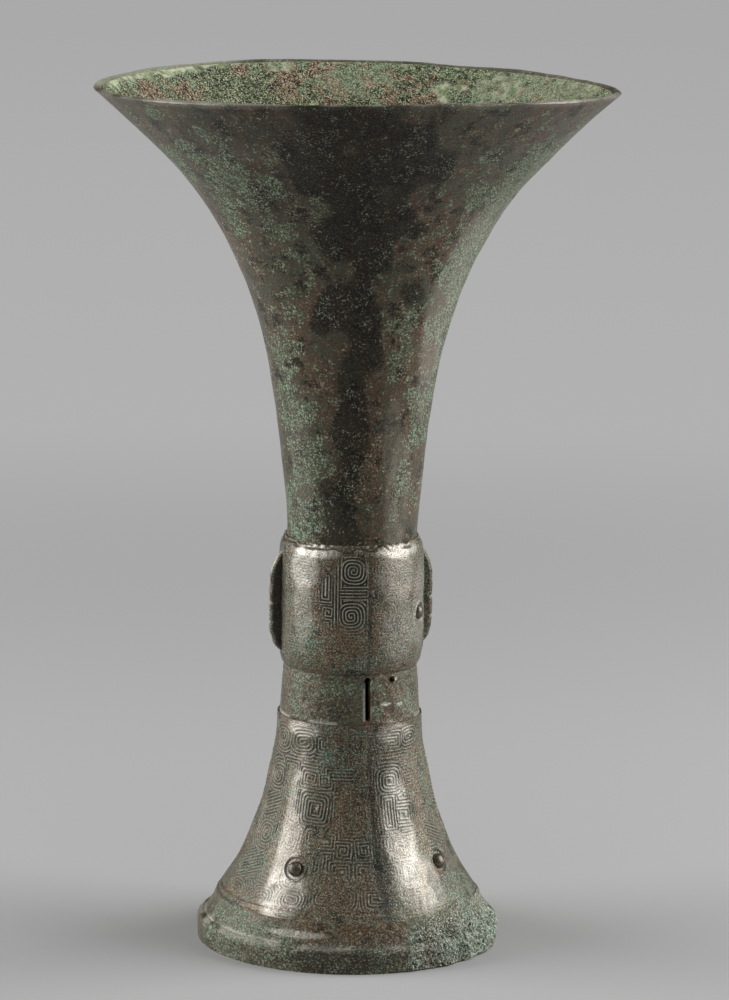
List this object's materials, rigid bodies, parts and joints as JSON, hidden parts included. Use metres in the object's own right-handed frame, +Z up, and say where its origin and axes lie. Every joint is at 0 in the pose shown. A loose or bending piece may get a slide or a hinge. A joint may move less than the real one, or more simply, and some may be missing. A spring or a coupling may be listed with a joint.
{
  "type": "gu wine vessel",
  "caption": "Slender cast-bronze wine beaker with a trumpet mouth, a flanged central knop and a hollow bell-shaped foot",
  "frame": {"origin": "centre of the foot ring on the surface that the vessel stands on", "axes": "+Z up along the vessel's axis, -Y towards the front mould seam, flanges on +X and -X"},
  "size_m": [0.159, 0.159, 0.265],
  "materials": {
    "dark_bronze": "satin, dark olive-brown patina",
    "worn_bronze": "worn, silvery brown with green in the recesses",
    "spacer_bronze": "satin, redder bronze",
    "mineral_crust": "rough granular corrosion"
  },
  "bodies": {
    "root": {"mouth": "dark_bronze", "stem": "dark_bronze", "mouth_lining": "mineral_crust", "knop": "worn_bronze", "flange_left": "worn_bronze", "flange_right": "worn_bronze", "knop_eye_front_left": "worn_bronze", "knop_eye_front_right": "worn_bronze", "knop_eye_back_left": "worn_bronze", "knop_eye_back_right": "worn_bronze", "cup_floor": "dark_bronze", "floor_spacer_1": "spacer_bronze", "floor_spacer_2": "spacer_bronze", "floor_spacer_3": "spacer_bronze", "collar": "dark_bronze", "bell": "worn_bronze", "foot_eye_front_left": "worn_bronze", "foot_eye_front_right": "worn_bronze", "foot_eye_back_left": "worn_bronze", "foot_eye_back_right": "worn_bronze", "base": "dark_bronze", "foot_crust": "mineral_crust"}
  },
  "joints": []
}
